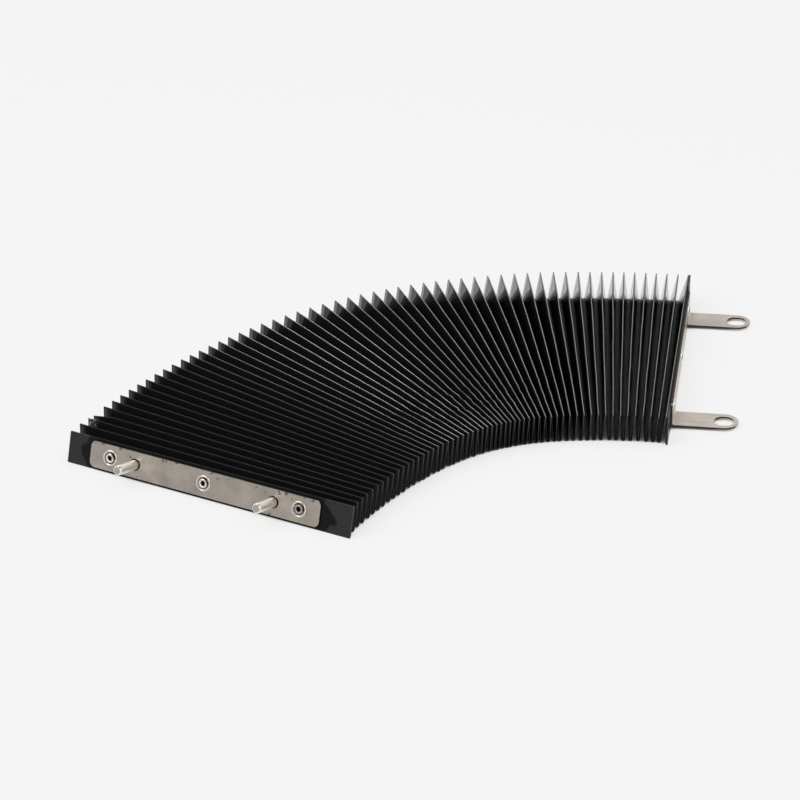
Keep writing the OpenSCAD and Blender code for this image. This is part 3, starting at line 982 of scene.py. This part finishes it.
def rivets(scene):
    """All six rivets."""
    ground = Ground(scene)
    metal = bright_material(scene.cover_finish)
    for side in ("near", "far"):
        for place in PLACES:
            rolled_rivet(scene.cover_fasteners, ground, side, place, metal)


# The camera as fitted to the photograph, with its turns in degrees.
CAMERA_PLACE = Vector((80.31, -1472.17, 786.67)) * MM
CAMERA_TURNS = ((8.765, "Z"), (90.0 - 28.68, "X"), (-0.636, "Z"))
CAMERA_LENS, CAMERA_SENSOR, CAMERA_CLIP = 144.0, 36.0, (0.01, 20.0)
# What gloss and metal see: darker overhead and towards the front left.
SKY_FADE = (0.62, 0.85)
OVERHEAD_SHARE = 0.25
FLAG_TOWARDS = (-0.70, -0.71, 0.06)
FLAG_FADE = (0.62, 0.88)
FLAG_DEPTH = 1.2
WORLD_LIGHT = 0.55
# The floor: how much of its shadow shows, where that ends, and its dark line under the cover, which
# is painted shade: ambient occlusion dims the floor's glow there.
FLOOR_HALF = 4.0
FLOOR_SHADOW = 0.2
SHADOW_FADE = (0.45, 0.9)
PAPER_SHARE = 0.80
SHELTER_REACH = 14.0 * MM
SHELTER_RANGE = (0.10, 0.42)
# The lamps: their place from the cover's middle, their size and their power.
SOFTBOXES = (("left_softbox", (-0.9, -0.5, 1.1), 0.9, 9.0),
             ("right_softbox", (0.9, -0.4, 1.2), 0.9, 6.0),
             ("top_softbox", (0.0, 0.5, 1.4), 1.2, 8.0))


def surround(scene):
    """A pale world, which gloss and metal see darker overhead and at the front left."""
    pale = scene.cover_finish.floor
    world = bpy.data.worlds.new("pale_surround")
    world.use_nodes = True
    scene.world = world
    w = Tree(world.node_tree, "ShaderNodeOutputWorld")
    rays = w.add("ShaderNodeLightPath").outputs
    direction = w.add("ShaderNodeTexCoord").outputs["Generated"]
    overhead = w.span(w.dot(direction, UP), *SKY_FADE)
    front = w.span(w.dot(direction, FLAG_TOWARDS), *FLAG_FADE, 0.0, FLAG_DEPTH)
    darker = w.times(w.calc("MAXIMUM", overhead, front), rays["Is Glossy Ray"])
    lit = w.add("ShaderNodeBackground", {"Color": (1.0, 1.0, 1.0, 1.0), "Strength": WORLD_LIGHT})
    seen = w.add("ShaderNodeBackground", {
        "Color": w.blend(darker, pale, scaled(pale, OVERHEAD_SHARE))})
    w.show_between(w.seen(rays), lit, seen)


def pale_floor(scene):
    """A floor that shows as pale as the surround and keeps the cover's shadow, with painted shade
    that dims its glow under the cover.
    """
    pale = scene.cover_finish.floor
    corners = [(FLOOR_HALF * x, FLOOR_HALF * y, 0) for x, y in ((-1, -1), (1, -1), (1, 1), (-1, 1))]
    floor = add_mesh("pale_floor", corners, [[0, 1, 2, 3]])
    m = Surface("pale_floor")
    paper = m.add("ShaderNodeBsdfPrincipled", {
        "Base Color": (*scaled(pale, PAPER_SHARE), 1.0), "Roughness": 0.9,
        "Specular IOR Level": 0.0})
    # Painted shade: ambient occlusion dims the floor's glow under and right beside the cover.
    shelter = m.add("ShaderNodeAmbientOcclusion", {"Distance": SHELTER_REACH}, samples=8)
    glow = m.add("ShaderNodeEmission", {
        "Color": (*pale, 1.0), "Strength": m.span(shelter.outputs["AO"], *SHELTER_RANGE)})
    away = m.add("ShaderNodeVectorMath", {0: m.place}, operation="LENGTH").outputs["Value"]
    plain = m.span(away, *SHADOW_FADE, 1.0 - FLOOR_SHADOW, 1.0, smooth=True)
    seen = m.seen(m.add("ShaderNodeLightPath").outputs)
    m.show_between(m.times(seen, plain), paper, glow)
    floor.data.materials.append(m.material)
    floor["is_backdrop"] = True


def softboxes(scene):
    """Three soft lamps that face the cover."""
    low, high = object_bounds()
    middle = (low + high) / 2
    for name, place, size, power in SOFTBOXES:
        lamp = bpy.data.lights.new(name, "AREA")
        lamp.size = size
        lamp.energy = power
        obj = bpy.data.objects.new(name, lamp)
        scene.collection.objects.link(obj)
        obj.location = middle + Vector(place)
        obj.rotation_euler = (middle - obj.location).to_track_quat("-Z", "Y").to_euler()


def viewpoint(scene):
    """The camera, where it stood for the photograph."""
    camera = bpy.data.objects.new("camera", bpy.data.cameras.new("camera"))
    scene.collection.objects.link(camera)
    camera.data.lens = CAMERA_LENS
    camera.data.sensor_width = CAMERA_SENSOR
    camera.data.clip_start, camera.data.clip_end = CAMERA_CLIP
    view = Matrix.Translation(CAMERA_PLACE)
    for degrees, axis in CAMERA_TURNS:
        view = view @ Matrix.Rotation(math.radians(degrees), 4, axis)
    camera.matrix_world = view
    scene.camera = camera


def studio(scene):
    """A pale floor, a pale surround, soft lamps and the camera."""
    surround(scene)
    pale_floor(scene)
    softboxes(scene)
    viewpoint(scene)
    scene.view_settings.view_transform = "Standard"


class COVER_OT_folded_sheet(bpy.types.Operator):
    """Builds the pleated sheet"""
    bl_idname = "cover.folded_sheet"
    bl_label = "Folded sheet"

    def execute(self, context):
        pleated_sheet(context.scene)
        return {"FINISHED"}


class COVER_OT_end_boards(bpy.types.Operator):
    """Dresses both end boards"""
    bl_idname = "cover.end_boards"
    bl_label = "End boards"

    def execute(self, context):
        end_boards(context.scene)
        return {"FINISHED"}


class COVER_OT_end_plates(bpy.types.Operator):
    """Dresses both steel plates"""
    bl_idname = "cover.end_plates"
    bl_label = "End plates"

    def execute(self, context):
        end_plates(context.scene)
        return {"FINISHED"}


class COVER_OT_studs(bpy.types.Operator):
    """Builds the two threaded studs"""
    bl_idname = "cover.studs"
    bl_label = "Studs"

    def execute(self, context):
        studs(context.scene)
        return {"FINISHED"}


class COVER_OT_rivets(bpy.types.Operator):
    """Builds the six rivets"""
    bl_idname = "cover.rivets"
    bl_label = "Rivets"

    def execute(self, context):
        rivets(context.scene)
        return {"FINISHED"}


class COVER_OT_studio(bpy.types.Operator):
    """Builds the floor, lamps and camera"""
    bl_idname = "cover.studio"
    bl_label = "Studio"

    def execute(self, context):
        studio(context.scene)
        return {"FINISHED"}


OPERATORS = [COVER_OT_folded_sheet, COVER_OT_end_boards, COVER_OT_end_plates,
             COVER_OT_studs, COVER_OT_rivets, COVER_OT_studio]


class COVER_PT_panel(bpy.types.Panel):
    """Lists the cover's settings and building steps."""
    bl_label = "Bellows cover"
    bl_idname = "COVER_PT_panel"
    bl_space_type = "VIEW_3D"
    bl_region_type = "UI"
    bl_category = "Bellows"

    def draw(self, context):
        for group in GROUPS:
            box = self.layout.box()
            for key in GROUPS[group].__annotations__:
                box.prop(getattr(context.scene, group), key)
        for each in OPERATORS:
            self.layout.operator(each.bl_idname)


def register():
    """Registers the settings, operators and panel."""
    for name, group in GROUPS.items():
        bpy.utils.register_class(group)
        setattr(bpy.types.Scene, name, PointerProperty(type=group))
    for each in [*OPERATORS, COVER_PT_panel]:
        bpy.utils.register_class(each)


def unregister():
    """Takes them away again."""
    for each in [COVER_PT_panel, *reversed(OPERATORS)]:
        bpy.utils.unregister_class(each)
    for name in reversed(GROUPS):
        delattr(bpy.types.Scene, name)
        bpy.utils.unregister_class(GROUPS[name])


def main():
    """Builds everything in order."""
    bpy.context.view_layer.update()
    register()
    for each in OPERATORS:
        getattr(bpy.ops.cover, each.bl_idname.split(".")[1])()


if __name__ == "__main__":
    main()
